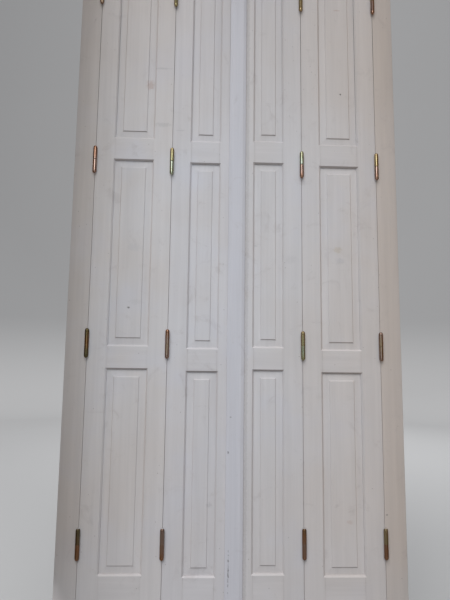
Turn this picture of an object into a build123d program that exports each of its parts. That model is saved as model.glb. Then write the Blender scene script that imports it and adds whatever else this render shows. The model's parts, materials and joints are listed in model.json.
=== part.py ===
from build123d import *
import os

# Folding panelled shutters hung in a fixed timber frame. Each side has an outer leaf hinged to
# the frame and an inner leaf hinged to the outer one, and the two inner leaves meet in the middle.
# X runs to the right, Y from the front to the wall behind, and Z up from the foot of the frame.
# Y is 0 on the back of the frame and X is 0 on the meeting line.

# Fixed frame
frame_width = 1200
frame_height = 2580
frame_depth = 60
upright_width = 75
crosspiece_height = 75
stop_width = 12
stop_clearance = 1
frame_tenon_length = 30
frame_tenon_thickness = 20
frame_tenon_shoulder = 12
fixing_radius = 4
fixing_inset = 430

# Leaves
leaf_thickness = 32
hinge_gap = 1
meeting_gap = 3
end_gap = 4
fold_line = 242
stile_width = 71
meeting_stile_width = 64
meeting_bevel = 3
top_rail_height = 86
upper_rail_height = 90
lower_rail_height = 86
bottom_rail_height = 114
sight_chamfer = 5

# The rails and panels of two leaves were set out a little lower than those of the others
low_setting = 7
leaf_settings = {
    "left_outer": 0,
    "left_inner": -low_setting,
    "right_inner": 0,
    "right_outer": -low_setting,
}

# Floating panels, raised on both faces
panel_set_back = 9
panel_bevel_width = 24
panel_bevel_rise = 2
panel_shoulder_width = 3
panel_shoulder_rise = 3
tongue_depth = 10
tongue_end_clearance = 1
tongue_face_clearance = 0.2

# Stub tenons of the rails
tenon_length = 45
tenon_clearance = 0.1

# Cover strip over the meeting joint, fixed to the left inner leaf, with a long bevel each side
strip_left = 30
strip_right = 31
strip_thickness = 12
strip_bevel_width = 11
strip_bevel_rise = 4
strip_relief = 1
strip_end_inset = 4

# Lift-off hinges, each with a lower half that stays and an upper half that lifts away
hinges_per_line = 4
lowest_hinge_height = 213
highest_hinge_drop = 187
knuckle_radius = 7.5
knuckle_stand_off = 8
knuckle_length = 46.5
knuckle_bearing_clearance = 0.1
tip_height = 5.5
plate_thickness = 2.5
plate_depth = 28
plate_parting = 0.5
plate_recess_clearance = 0.1

# Slide bolts on the backs of the inner leaves: a flat bar in two slotted guides on a plate
bar_width = 16
bar_thickness = 6
bar_length = 170
bar_stand_off = 8
bar_sliding_clearance = 0.1
bar_hole_clearance = 1
bar_travel = 20
bar_rest_clearance = 2
bar_tip_chamfer = 2
knob_radius = 6
knob_length = 11
guide_width = 32
guide_plate_length = 130
guide_plate_thickness = 2.5
guide_wall = 4
guide_length = 12
guide_end_margin = 10

# Planes across the depth
frame_front = -frame_depth
leaf_front = frame_front
leaf_back = leaf_front + leaf_thickness
leaf_middle = (leaf_front + leaf_back) / 2
stop_front = leaf_back + stop_clearance
hinge_y = leaf_front - knuckle_stand_off
bar_front = leaf_back + bar_stand_off
bar_back = bar_front + bar_thickness

# Lines across the width, for the right-hand side
frame_edge = frame_width / 2
upright_face = frame_edge - upright_width
frame_hinge_line = upright_face - hinge_gap / 2
outer_leaf_out = frame_hinge_line - hinge_gap / 2
outer_leaf_in = fold_line + hinge_gap / 2
inner_leaf_out = fold_line - hinge_gap / 2
inner_leaf_in = meeting_gap / 2
bar_x = inner_leaf_in + meeting_stile_width / 2

# Levels up the height
sill_top = crosspiece_height
head_bottom = frame_height - crosspiece_height
leaf_bottom = sill_top + end_gap
leaf_top = head_bottom - end_gap
leaf_height = leaf_top - leaf_bottom
rail_heights = (bottom_rail_height, lower_rail_height, upper_rail_height, top_rail_height)
panels_per_leaf = len(rail_heights) - 1
opening_height = (leaf_height - sum(rail_heights)) / panels_per_leaf
opening_levels = [
    leaf_bottom + sum(rail_heights[: i + 1]) + i * opening_height for i in range(panels_per_leaf)
]

# Hinges are spaced evenly between the lowest and the highest
lowest_hinge = leaf_bottom + lowest_hinge_height
hinge_pitch = (leaf_height - lowest_hinge_height - highest_hinge_drop) / (hinges_per_line - 1)
hinge_levels = [lowest_hinge + i * hinge_pitch for i in range(hinges_per_line)]
hinge_half_height = knuckle_bearing_clearance / 2 + knuckle_length

# Joinery that follows from the sizes above
tongue_thickness = leaf_thickness - 2 * panel_set_back
groove_thickness = tongue_thickness + 2 * tongue_face_clearance
groove_depth = tongue_depth + tongue_end_clearance
plate_far_side = plate_parting / 2 + plate_thickness
plate_recess = plate_far_side - hinge_gap / 2


def block(x_ends, y_ends, z_ends, mode=Mode.ADD):
    """Add or cut a square block between two planes each way."""
    centre = (sum(x_ends) / 2, sum(y_ends) / 2, sum(z_ends) / 2)
    with Locations(centre):
        Box(
            abs(x_ends[1] - x_ends[0]),
            abs(y_ends[1] - y_ends[0]),
            abs(z_ends[1] - z_ends[0]),
            mode=mode,
        )


def bevelled_block(x_ends, z_ends, root_y, face_y, run, rise):
    """A block whose face has a bevel all round, run wide across the face and rise deep."""
    with BuildPart() as piece:
        block(x_ends, (root_y, face_y), z_ends)
        face = piece.faces().sort_by(Axis.Y)[0 if face_y < root_y else -1]
        chamfer(face.edges(), length=run, length2=rise, reference=face)
    return piece.part


def grown(ends, amount):
    """Two limits moved apart by the same amount each."""
    return (min(ends) - amount, max(ends) + amount)


def make_opening_cutter(x_ends, level):
    """What is cut away around one opening: the panel groove and the chamfered sight edges."""
    z_ends = (level, level + opening_height)
    half = groove_thickness / 2
    with BuildPart() as cutter:
        groove_y = (leaf_middle - half, leaf_middle + half)
        block(grown(x_ends, groove_depth), groove_y, grown(z_ends, groove_depth))
        add(
            bevelled_block(
                grown(x_ends, sight_chamfer),
                grown(z_ends, sight_chamfer),
                leaf_front - sight_chamfer,
                leaf_front + sight_chamfer,
                sight_chamfer,
                sight_chamfer,
            )
        )
    return cutter.part


def cut_hinge_recesses(edge, toward):
    """Let the hinge plates into the edge of a board that lies on the toward side of it."""
    for level in hinge_levels:
        block(
            (edge - toward * plate_recess, edge + toward * plate_recess),
            (leaf_front - plate_recess, leaf_front + plate_depth + plate_recess_clearance),
            (
                level - hinge_half_height - plate_recess_clearance,
                level + hinge_half_height + plate_recess_clearance,
            ),
            mode=Mode.SUBTRACT,
        )


def rail_spans(levels):
    """The lower and upper edge of each rail of a leaf, from the bottom rail to the top rail."""
    edges = [leaf_bottom]
    for level in levels:
        edges += [level, level + opening_height]
    edges.append(leaf_top)
    return [(edges[i], edges[i + 1]) for i in range(0, len(edges), 2)]


def make_stile(edge, width, toward, cutters, spans, hinged, bevel=0):
    """An upright of a leaf, from its outer edge inwards, with grooves, mortises and recesses."""
    inner = edge + toward * width
    with BuildPart() as stile:
        with BuildSketch(Plane.XY.offset(leaf_bottom)):
            with BuildLine():
                Polyline(
                    (edge, leaf_front),
                    (edge + toward * bevel, leaf_back),
                    (inner, leaf_back),
                    (inner, leaf_front),
                    close=True,
                )
            make_face()
        extrude(amount=leaf_height)
        for cutter in cutters:
            add(cutter, mode=Mode.SUBTRACT)
        for bottom, top in spans:
            half = tongue_thickness / 2 + tenon_clearance
            block(
                (inner, inner - toward * (tenon_length + tongue_end_clearance)),
                (leaf_middle - half, leaf_middle + half),
                (
                    bottom + groove_depth - tenon_clearance,
                    top - groove_depth + tenon_clearance,
                ),
                mode=Mode.SUBTRACT,
            )
        if hinged:
            cut_hinge_recesses(edge, toward)
    return stile.part


def make_rail(opening, cutters, bottom, top):
    """A cross rail of a leaf with a stub tenon at each end."""
    with BuildPart() as rail:
        block(opening, (leaf_front, leaf_back), (bottom, top))
        for cutter in cutters:
            add(cutter, mode=Mode.SUBTRACT)
        block(
            (min(opening) - tenon_length, max(opening) + tenon_length),
            (leaf_middle - tongue_thickness / 2, leaf_middle + tongue_thickness / 2),
            (bottom + groove_depth, top - groove_depth),
        )
    return rail.part


def make_panel(opening, level):
    """A raised and fielded panel: a tongue all round, a long bevel, a shoulder and a flat field."""
    z_ends = (level, level + opening_height)
    half = tongue_thickness / 2
    run = panel_bevel_width
    with BuildPart() as panel:
        tongue_y = (leaf_middle - half, leaf_middle + half)
        block(grown(opening, tongue_depth), tongue_y, grown(z_ends, tongue_depth))
        for face, outward in ((leaf_front, -1), (leaf_back, 1)):
            crest = face - outward * (panel_set_back - panel_bevel_rise)
            field = crest + outward * panel_shoulder_rise
            rise = panel_bevel_rise
            add(bevelled_block(opening, z_ends, leaf_middle, crest, run, rise))
            inner_x = grown(opening, -run)
            inner_z = grown(z_ends, -run)
            step = (panel_shoulder_width, panel_shoulder_rise)
            add(bevelled_block(inner_x, inner_z, leaf_middle, field, *step))
    return panel.part


def make_cover_strip():
    """The strip that covers the meeting joint, relieved where it laps the right-hand leaf."""
    front = leaf_front - strip_thickness
    with BuildPart() as strip:
        with BuildSketch(Plane.XY.offset(leaf_bottom + strip_end_inset)):
            with BuildLine():
                Polyline(
                    (-strip_left, leaf_front),
                    (-inner_leaf_in, leaf_front),
                    (-inner_leaf_in, leaf_front - strip_relief),
                    (strip_right, leaf_front - strip_relief),
                    (strip_right, front + strip_bevel_rise),
                    (strip_right - strip_bevel_width, front),
                    (-strip_left + strip_bevel_width, front),
                    (-strip_left, front + strip_bevel_rise),
                    close=True,
                )
            make_face()
        extrude(amount=leaf_height - 2 * strip_end_inset)
    return strip.part


def make_hinge_halves(line, toward, way):
    """One half of every hinge on a line. Way is 1 for the lifting halves and -1 for the others.

    The knuckle stands in front of the joint, and its plate is let into the edge of the board
    on the toward side. The pin is closed in by the knuckles, so they stay solid.
    """
    plate_x = (line + toward * plate_parting / 2, line + toward * plate_far_side)
    with BuildPart() as halves:
        for level in hinge_levels:
            bearing = level + way * knuckle_bearing_clearance / 2
            crown = level + way * hinge_half_height
            with BuildSketch(Plane.XZ.offset(-hinge_y)) as section:
                with BuildLine():
                    Polyline(
                        (line, bearing),
                        (line + knuckle_radius, bearing),
                        (line + knuckle_radius, crown),
                        (line, crown + way * tip_height),
                        close=True,
                    )
                make_face()
            revolve(section.sketch, axis=Axis((line, hinge_y, 0), (0, 0, 1)))
            block(plate_x, (hinge_y, leaf_front), (bearing, crown))
            block(
                plate_x,
                (leaf_front, leaf_front + plate_depth),
                (level - hinge_half_height, level + hinge_half_height),
            )
    return halves.part


def make_bolt_guides(x):
    """A top and a bottom plate for the slide bolts, each with two slotted guides."""
    width = (x - guide_width / 2, x + guide_width / 2)
    bar = (x - bar_width / 2, x + bar_width / 2)
    with BuildPart() as guides:
        for end, inward in ((leaf_bottom, 1), (leaf_top, -1)):
            near = end + inward * guide_end_margin
            far = near + inward * guide_plate_length
            block(width, (leaf_back, leaf_back + guide_plate_thickness), (near, far))
            for start in (near, far - inward * guide_length):
                span = (start, start + inward * guide_length)
                guide_side = grown(bar, guide_wall)
                block(guide_side, (leaf_back, bar_back + guide_wall), span)
                block(
                    grown(bar, bar_sliding_clearance),
                    grown((bar_front, bar_back), bar_sliding_clearance),
                    span,
                    mode=Mode.SUBTRACT,
                )
    return guides.part


def make_bolt_bar(x, end, inward):
    """A flat bolt drawn back from the end of the leaf, with a round knob that points inwards."""
    stop_edge = end + inward * (stop_width - end_gap)
    tip = stop_edge + inward * bar_rest_clearance
    tail = tip + inward * bar_length
    knob_level = end + inward * (guide_end_margin + guide_plate_length / 2)
    with BuildPart() as bar:
        block((x - bar_width / 2, x + bar_width / 2), (bar_front, bar_back), (tip, tail))
        tip_face = bar.faces().sort_by(Axis.Z)[0 if inward > 0 else -1]
        chamfer(tip_face.edges(), length=bar_tip_chamfer)
        with BuildSketch(Plane.XZ.offset(-bar_back)) as knob:
            with Locations((x, knob_level)):
                Circle(knob_radius)
        extrude(knob.sketch, amount=-knob_length)
    return bar.part


def cut_bolt_slots(stop_edge, away):
    """Sink the two slots that the slide bolts enter, open towards the leaves."""
    depth = bar_travel + bar_hole_clearance
    for x in (-bar_x, bar_x):
        block(
            grown((x - bar_width / 2, x + bar_width / 2), bar_hole_clearance),
            grown((bar_front, bar_back), bar_hole_clearance),
            (stop_edge, stop_edge + away * depth),
            mode=Mode.SUBTRACT,
        )


def make_crosspiece(bottom, away):
    """The head or the sill, with a stop lip, bolt holes and a tenon at each end."""
    top = bottom + crosspiece_height
    inside = bottom if away > 0 else top
    lip_edge = inside - away * stop_width
    half = frame_tenon_thickness / 2
    depth_middle = -frame_depth / 2
    with BuildPart() as crosspiece:
        block((-upright_face, upright_face), (frame_front, 0), (bottom, top))
        lip_end = upright_face - stop_width
        block((-lip_end, lip_end), (stop_front, 0), (lip_edge, inside))
        reach = upright_face + frame_tenon_length
        block(
            (-reach, reach),
            (depth_middle - half, depth_middle + half),
            (bottom + frame_tenon_shoulder, top - frame_tenon_shoulder),
        )
        cut_bolt_slots(lip_edge, away)
    return crosspiece.part


def make_upright(toward):
    """A fixed upright with its stop lip, mortises, hinge recesses and fixing holes."""
    half = frame_tenon_thickness / 2 + tenon_clearance
    depth_middle = -frame_depth / 2
    face = toward * upright_face
    with BuildPart() as upright:
        block((face, toward * frame_edge), (frame_front, 0), (0, frame_height))
        block((face - toward * stop_width, face), (stop_front, 0), (sill_top, head_bottom))
        for bottom in (0, head_bottom):
            block(
                (face, face + toward * (frame_tenon_length + tongue_end_clearance)),
                (depth_middle - half, depth_middle + half),
                (
                    bottom + frame_tenon_shoulder - tenon_clearance,
                    bottom + crosspiece_height - frame_tenon_shoulder + tenon_clearance,
                ),
                mode=Mode.SUBTRACT,
            )
        cut_hinge_recesses(face, toward)
        for level in (fixing_inset, frame_height - fixing_inset):
            with BuildSketch(Plane.YZ.offset(face)) as section:
                with Locations((leaf_middle, level)):
                    Circle(fixing_radius)
            extrude(section.sketch, amount=toward * upright_width, mode=Mode.SUBTRACT)
    return upright.part


def save(name, piece):
    """Write one piece under its own name."""
    piece.label = name
    export_step(piece, f"parts/{name}.step")


rail_names = ("bottom_rail", "lower_rail", "upper_rail", "top_rail")
panel_names = ("bottom_panel", "middle_panel", "top_panel")

os.makedirs("parts", exist_ok=True)

save("sill", make_crosspiece(0, -1))
save("head", make_crosspiece(head_bottom, 1))
save("cover_strip", make_cover_strip())

for side, sign in (("left", -1), ("right", 1)):
    save(f"{side}_upright", make_upright(sign))

    leaves = (
        ("outer", outer_leaf_out, outer_leaf_in, stile_width, True, 0),
        ("inner", inner_leaf_out, inner_leaf_in, meeting_stile_width, False, meeting_bevel),
    )
    for leaf, out_edge, in_edge, in_width, in_hinged, in_bevel in leaves:
        opening = (sign * (out_edge - stile_width), sign * (in_edge + in_width))
        levels = [level + leaf_settings[f"{side}_{leaf}"] for level in opening_levels]
        spans = rail_spans(levels)
        cutters = [make_opening_cutter(opening, level) for level in levels]
        out_stile = make_stile(sign * out_edge, stile_width, -sign, cutters, spans, True)
        in_stile = make_stile(sign * in_edge, in_width, sign, cutters, spans, in_hinged, in_bevel)
        save(f"{side}_{leaf}_stile_out", out_stile)
        save(f"{side}_{leaf}_stile_in", in_stile)
        for i, (bottom, top) in enumerate(spans):
            beside = cutters[max(i - 1, 0) : i + 1]
            save(f"{side}_{leaf}_{rail_names[i]}", make_rail(opening, beside, bottom, top))
        for name, level in zip(panel_names, levels):
            save(f"{side}_{leaf}_{name}", make_panel(opening, level))

    for place, line in (("frame", frame_hinge_line), ("fold", fold_line)):
        save(f"{side}_{place}_hinges_fixed", make_hinge_halves(sign * line, sign, -1))
        save(f"{side}_{place}_hinges_lifting", make_hinge_halves(sign * line, -sign, 1))

    save(f"{side}_bolt_guides", make_bolt_guides(sign * bar_x))
    save(f"{side}_bottom_bolt", make_bolt_bar(sign * bar_x, leaf_bottom, 1))
    save(f"{side}_top_bolt", make_bolt_bar(sign * bar_x, leaf_top, -1))
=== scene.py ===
import json
import math

import bmesh
import bpy
import numpy as np
from bpy.props import FloatProperty, FloatVectorProperty, IntProperty, PointerProperty
from mathutils import Matrix, Vector


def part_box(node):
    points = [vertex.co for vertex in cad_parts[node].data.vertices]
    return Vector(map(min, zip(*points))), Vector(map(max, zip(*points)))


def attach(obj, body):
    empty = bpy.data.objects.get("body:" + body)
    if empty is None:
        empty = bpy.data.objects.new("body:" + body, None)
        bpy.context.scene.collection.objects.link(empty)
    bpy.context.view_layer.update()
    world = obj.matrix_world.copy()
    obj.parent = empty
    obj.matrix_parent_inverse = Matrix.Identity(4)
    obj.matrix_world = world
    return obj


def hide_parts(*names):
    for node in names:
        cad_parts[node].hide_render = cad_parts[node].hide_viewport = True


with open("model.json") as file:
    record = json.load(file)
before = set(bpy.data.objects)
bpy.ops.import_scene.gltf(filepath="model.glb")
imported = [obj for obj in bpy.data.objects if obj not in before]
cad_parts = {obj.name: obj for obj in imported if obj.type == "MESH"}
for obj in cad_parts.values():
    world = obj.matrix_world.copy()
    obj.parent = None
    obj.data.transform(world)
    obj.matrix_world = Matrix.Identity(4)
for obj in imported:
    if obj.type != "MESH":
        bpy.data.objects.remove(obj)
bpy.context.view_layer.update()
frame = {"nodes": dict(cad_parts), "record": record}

bl_info = {
    "name": "Folding panelled shutters",
    "version": (1, 0, 0),
    "blender": (4, 5, 0),
    "location": "3D View > Sidebar > Shutters",
    "description": "Paint, hinges, bolts and studio stage for a pair of folding shutters",
    "category": "Object",
}

MM = 0.001
NODE_BODY = {
    node: body for body, nodes in frame["record"]["behaviour"]["bodies"].items() for node in nodes
}
SIDES = {"left": -1, "right": 1}

# Planes and lines that the parts share, in metres
LEAF_FRONT = -0.060
LEAF_BACK = -0.028
STOP_FRONT = -0.027
FRAME_BACK = 0.0
STRIP_FACES = (-0.072, -0.068)
JOINT_REACH = 0.530

# Depth of the hinges' pins, levels of their middles, and half the slit between their two halves
HINGE_Y = -0.068
HINGE_LEVELS = (0.292, 0.966, 1.640, 2.314)
BEARING = 0.05 * MM

# The groove at the slit, open above and choked with dirt below
BEARING_GROOVES = (0.5 * MM, 0.5 * MM, 1.4 * MM, 1.4 * MM)

# The ring: where its slopes begin and end below the shoulder, and its depth
RING_BELOW = (2.4 * MM, 1.9 * MM, 1.3 * MM, 0.8 * MM)
RING_DEPTH = 0.5 * MM

# Power of the cosine in the outline of tips and knobs
BLUNTNESS = 0.8

# A hinge plate: its open and its hidden face beside the pin, its depth, its screws and their
# distances from the edge in turn, and the points round one screw
PLATE_FACES = (0.25 * MM, 2.75 * MM)
PLATE_DEPTH = 28 * MM
PLATE_SCREWS = 4
SCREW_SETBACKS = (18.5 * MM, 10.5 * MM)
PLATE_STATIONS = 32

# A countersunk head: rings and the cross's reach as shares of its radius, and depths and widths
HEAD_RINGS = (0.0, 0.12, 0.24, 0.36, 0.48, 0.60, 0.74, 0.88, 1.0)
HEAD_SUNK = 0.25 * MM
CROSS_HALF_WIDTH = 0.55 * MM
CROSS_REACH = 0.62
CROSS_DEPTH = 1.0 * MM
COUNTERSINK = 0.62 * MM
HOLE_GAP = 0.35 * MM

# Colour of the zinc film on the lower and the upper half of each hinge, from the lowest level up:
# 0 is pale green, 0.2 yellow, 0.4 gold, 0.6 copper, 0.8 rust brown and 1 dark olive
HINGE_FILMS = {
    ("left", "frame"): ((0.80, 0.98), (0.96, 0.94), (0.64, 0.66), (0.50, 0.60)),
    ("left", "fold"): ((0.72, 0.60), (0.62, 0.66), (0.06, 0.26), (0.30, 0.50)),
    ("right", "frame"): ((0.78, 0.34), (0.58, 0.56), (0.58, 0.38), (0.66, 0.50)),
    ("right", "fold"): ((0.72, 0.80), (0.16, 0.32), (0.64, 0.06), (0.36, 0.16)),
}
FILM_COLOURS = {
    0.0: (0.35, 0.39, 0.31), 0.2: (0.34, 0.31, 0.16), 0.4: (0.37, 0.27, 0.14),
    0.6: (0.33, 0.225, 0.185), 0.8: (0.32, 0.13, 0.05), 1.0: (0.12, 0.10, 0.045),
}

# Slide bolts and their guides on the backs of the inner leaves
BOLT_X = 0.0335
BOLT_FACES = (-20 * MM, -14 * MM)
BOLT_WIDTH = 16 * MM
BOLT_CHAMFER = 2 * MM
GUIDE_PLATE_FACE = -25.5 * MM
GUIDE_BACK = -10 * MM
GUIDE_PLATE_LENGTH = 130 * MM
GUIDE_SCREWS_UP = (30 * MM, 100 * MM)
GUIDE_SCREWS_ACROSS = 12.7 * MM

# How far a rail's tenon, and a panel's bevel with its tongue, lie outside the visible board
FRAME_TENON = 30 * MM
RAIL_TENON = 45 * MM
FIELD_INSET = 37 * MM
FIELD_FACES = (-56.0 * MM, -32.0 * MM)

COAT_SOCKETS = {
    "INPUT": {
        "Grain place": "Vector", "Place": "Vector", "Low corner": "Vector",
        "High corner": "Vector", "Warmth": "Float", "Lightness": "Float", "Wear": "Float",
    },
    "OUTPUT": {"Color": "Color", "Roughness": "Float", "Height": "Float"},
}

# Levels between which the coat takes a painted shade, warmer and darker, more and more towards
# the head or the foot, and between which the hinges are aged, in metres
HEAD_SHADE_LEVELS = (1.60, 2.15)
FOOT_SHADE_LEVELS = (0.35, 0.95)
HINGES_AGED = (0.35, 1.45)

# How far from an edge the coat is worn and soiled, how ragged that is, and how far a place may
# be outside a board's box
EDGE_WORN = 1.4 * MM
EDGE_SOILED = 10 * MM
EDGE_RAGGED = 4 * MM
WELL_OUTSIDE = 0.6 * MM

# Colours of the small things on the coat and on the zinc
SMUDGE = (0.40, 0.35, 0.34, 1)
KNOT = (0.45, 0.34, 0.24, 1)
SPECK = (0.13, 0.09, 0.08, 1)
# Colour that makes the side faces in the joints darker towards the head
JOINT_DARKENING = (0.07, 0.055, 0.05, 1)
DULL_FILM = (0.09, 0.065, 0.045, 1)
RUST_SPOT = (0.12, 0.075, 0.05, 1)
# Pale zinc for the painted highlight on the lowest hinges' tips
TIP_GLINT_ZINC = (0.74, 0.74, 0.72, 1)
BRIGHT_ZINC = (0.44, 0.45, 0.46, 1)
BLOOMED_ZINC = (0.30, 0.31, 0.32, 1)
FRECKLE = (0.16, 0.13, 0.10, 1)

# The stage: the cards beside the frame, the floor with its bent-up edge, and the pale lights
CARD_X = 0.612
CARD_DEPTHS = (-0.43, -0.075)
CARD_LEVELS = (0.2, 2.75)
FLOOR_REACH = 6.0
FLOOR_BEND = 1.6
RIM_TOP = 10.0
PALE_BLUE = (0.93, 0.96, 1.0)
BACK_POWER = 90.0
WARM_CARD = (0.56, 0.39, 0.22, 1)

MARK_COLOURS = {
    "brown": (0.40, 0.21, 0.15), "grey": (0.24, 0.23, 0.24), "blue": (0.30, 0.31, 0.37),
    "ochre": (0.44, 0.34, 0.18), "dark": (0.05, 0.04, 0.035),
}

# How far in from the front a mark reaches
MARK_DEPTH = 12 * MM

# The marks that show on the front: colour, middle (across, up), half size
# (across, up) and strength
MARKS = {
    "stain at the foot of the left outer top field": ("brown", (-0.330, 1.945), (0.016, 0.018), 0.36),
    "scuff on the left outer inner stile": ("grey", (-0.290, 2.010), (0.034, 0.004), 0.20),
    "smear beside the upper rail": ("grey", (-0.280, 1.785), (0.030, 0.008), 0.18),
    "smear on the left inner outer stile": ("grey", (-0.215, 1.765), (0.018, 0.003), 0.18),
    "nail hole in the right outer top field": ("dark", (0.395, 1.930), (0.003, 0.003), 0.85),
    "bruise on the right outer top field": ("brown", (0.385, 2.280), (0.012, 0.003), 0.30),
    "dead knot in the left outer middle field": ("dark", (-0.385, 1.095), (0.005, 0.004), 0.70),
    "haze on the left outer middle field": ("blue", (-0.370, 1.315), (0.026, 0.015), 0.10),
    "smear near the dead knot": ("grey", (-0.360, 1.115), (0.024, 0.010), 0.08),
    "smear on the right inner outer stile": ("grey", (0.200, 1.280), (0.020, 0.014), 0.09),
    "rust spot on the right outer middle field": ("ochre", (0.375, 1.320), (0.015, 0.011), 0.26),
    "haze beside the rust spot": ("blue", (0.385, 1.280), (0.015, 0.009), 0.17),
    "scratch on the right inner meeting stile": ("dark", (0.072, 1.330), (0.009, 0.002), 0.22),
    "knocks on the cover strip, upper": ("dark", (-0.015, 0.715), (0.004, 0.002), 0.50),
    "knocks on the cover strip, lower": ("dark", (-0.022, 0.595), (0.003, 0.004), 0.60),
    # A painted shadow of the cover strip, cast on the right inner leaf
    "painted shadow along the right of the cover strip": ("dark", (0.0395, 1.290), (0.005, 3.000), 0.15),
    "flaking at the foot of the cover strip": ("dark", (-0.018, 0.205), (0.0014, 0.041), 0.65),
    "bruise on the left inner bottom field": ("grey", (-0.085, 0.415), (0.010, 0.009), 0.20),
    "bruise on the right outer bottom field": ("brown", (0.405, 0.360), (0.011, 0.007), 0.18),
    "chip in the right upright": ("dark", (0.533, 0.385), (0.004, 0.003), 0.55),
}

# Lightness and warmth of each board's colour, and for the leaves how far their edges are worn;
# the uprights' warmth and slight darkness are painted warm bounce light and painted shade
CROSSPIECE_TONE = (-0.06, 0.35)
UPRIGHT_TONES_WITH_PAINTED_LIGHT = {"left": (-0.03, 0.5), "right": (-0.02, 1.2)}
STRIP_TONE = (0.015, -0.9)
STRIP_WEAR = 0.3
LEAF_TONES = {
    "left_outer": ((0.0, 0.1), 0.3),
    "left_inner": ((0.002, -0.25), 1.0),
    "right_inner": ((0.008, -0.05), 1.0),
    "right_outer": ((0.0, 0.3), 1.0),
}
PANEL_WEAR = 0.3


def colour_property(name, description, default):
    """A colour that the user can change."""
    return FloatVectorProperty(
        name=name, description=description, subtype="COLOR", size=3, min=0, max=1, default=default,
    )


def length_property(name, description, default, low, high):
    """A length that the user can change, given here in millimetres."""
    return FloatProperty(
        name=name, description=description, default=default * MM, min=low * MM, max=high * MM,
        unit="LENGTH",
    )


class PaintSizes(bpy.types.PropertyGroup):
    """Sizes and colours of the brushed undercoat."""

    colour: colour_property("Undercoat", "Colour of the undercoat", (0.660, 0.635, 0.643))
    # The warm colour is also the painted shade towards the head and the foot, and the uprights'
    # painted warm bounce light
    warm: colour_property("Warm patches", "Where the coat is thin", (0.60, 0.525, 0.475))
    cool: colour_property("Cool patches", "Where the coat is thick", (0.635, 0.63, 0.69))
    grime: colour_property("Grime", "Dirt in the edges and joints", (0.30, 0.24, 0.22))
    # Colour of the painted shade on faces that look down, brown as a thin coat
    underside_shade: colour_property("Underside shade", "Undersides of the rails", (0.26, 0.19, 0.165))
    edge_radius: length_property("Eased edge", "Radius of the painted edges", 0.4, 0.1, 1.5)
    grain_height: length_property("Grain height", "Depth of the grain under the coat", 0.25, 0, 2)


class HingeSizes(bpy.types.PropertyGroup):
    """Sizes of the lift-off hinges."""

    radius: length_property("Knuckle radius", "Radius of the knuckles", 7.5, 4, 12)
    half_height: length_property("Half height", "Middle to the shoulder of the tip", 46.55, 20, 80)
    tip: length_property("Tip", "Height of the rounded tip above its shoulder", 5.5, 1, 10)
    taper: length_property("Taper", "Where the tip begins, below its shoulder", 4.0, 0, 10)
    screw_radius: length_property("Screw head", "Radius of the countersunk heads", 4.1, 2, 6)
    sides: IntProperty(name="Sides", description="Facets of a knuckle", default=48, min=16, max=96)


class BoltSizes(bpy.types.PropertyGroup):
    """Sizes of the slide bolts."""

    knob_radius: length_property("Knob radius", "Radius of the turned knob", 6, 3, 10)
    knob_length: length_property("Knob length", "Length of the turned knob", 11, 5, 20)
    screw_radius: length_property("Screw head", "Radius of the round heads", 2.6, 1, 4)


class StageSizes(bpy.types.PropertyGroup):
    """Camera, lights and floor."""

    camera_place: FloatVectorProperty(
        name="Camera", description="Where the camera stands", subtype="TRANSLATION",
        size=3, default=(-0.103, -1.800, 0.919),
    )
    yaw: FloatProperty(
        name="Yaw", description="Turn to the right", default=math.radians(2.11), subtype="ANGLE",
    )
    pitch: FloatProperty(
        name="Pitch", description="Tilt upwards", default=math.radians(6.81), subtype="ANGLE",
    )
    roll: FloatProperty(
        name="Roll", description="Turn about the view line", default=math.radians(0.70),
        subtype="ANGLE",
    )
    lens: FloatProperty(
        name="Lens", description="Focal length in millimetres", default=29.16, min=10, max=200,
    )
    key: FloatProperty(
        name="Sky light", description="Strength of the broad soft light from above",
        default=1.745, min=0,
    )
    near: FloatProperty(
        name="Near light", description="Power of the soft light beside the camera",
        default=8.2, min=0, subtype="POWER",
    )
    gleam: FloatProperty(
        name="Gleam light", description="Power of the high light that only polished metal shows",
        default=22.0, min=0, subtype="POWER",
    )
    fill: FloatProperty(
        name="Fill", description="Strength of the pale surroundings", default=0.22, min=0,
    )
    floor: colour_property("Floor", "Colour of the floor", (0.60, 0.595, 0.585))


def node(tree, kind, settings=None, inputs=None):
    """One shader node, with its settings and its inputs; an input that is a socket is joined."""
    made = tree.nodes.new("ShaderNode" + kind)
    for name, value in (settings or {}).items():
        setattr(made, name, value)
    for name, value in (inputs or {}).items():
        if isinstance(value, bpy.types.NodeSocket):
            tree.links.new(value, made.inputs[name])
        else:
            made.inputs[name].default_value = value
    return made


def maths(tree, operation, a, b=0.0, c=0.0, clamp=False):
    """The result of one sum of two or three numbers or sockets."""
    values = dict(enumerate((a, b, c)))
    return node(tree, "Math", {"operation": operation, "use_clamp": clamp}, values).outputs[0]


def product(tree, a, b, clamp=False):
    """Two numbers or sockets multiplied."""
    return maths(tree, "MULTIPLY", a, b, clamp=clamp)


def swing(tree, value, share, middle, clamp=False):
    """A share of how far the value is from a half, added to the middle."""
    return maths(tree, "MULTIPLY_ADD", maths(tree, "SUBTRACT", value, 0.5), share, middle, clamp)


def vector(tree, operation, a, b):
    """The result of one sum of two vectors or sockets."""
    return node(tree, "VectorMath", {"operation": operation}, {0: a, 1: b}).outputs[0]


def split(tree, value, kind="XYZ"):
    """The three parts of a vector or, with the kind 'Color', of a colour."""
    return node(tree, "Separate" + kind, None, {0: value}).outputs


def ramp(tree, value, low, high, to_low=0.0, to_high=1.0):
    """A smooth step of the value from low to high."""
    inputs = {"Value": value, "From Min": low, "From Max": high, "To Min": to_low, "To Max": to_high}
    return node(tree, "MapRange", {"interpolation_type": "SMOOTHSTEP"}, inputs).outputs["Result"]


def fall(tree, value, low, high, top=1.0):
    """A smooth step down from the top to nothing."""
    return ramp(tree, value, low, high, top, 0.0)


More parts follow.
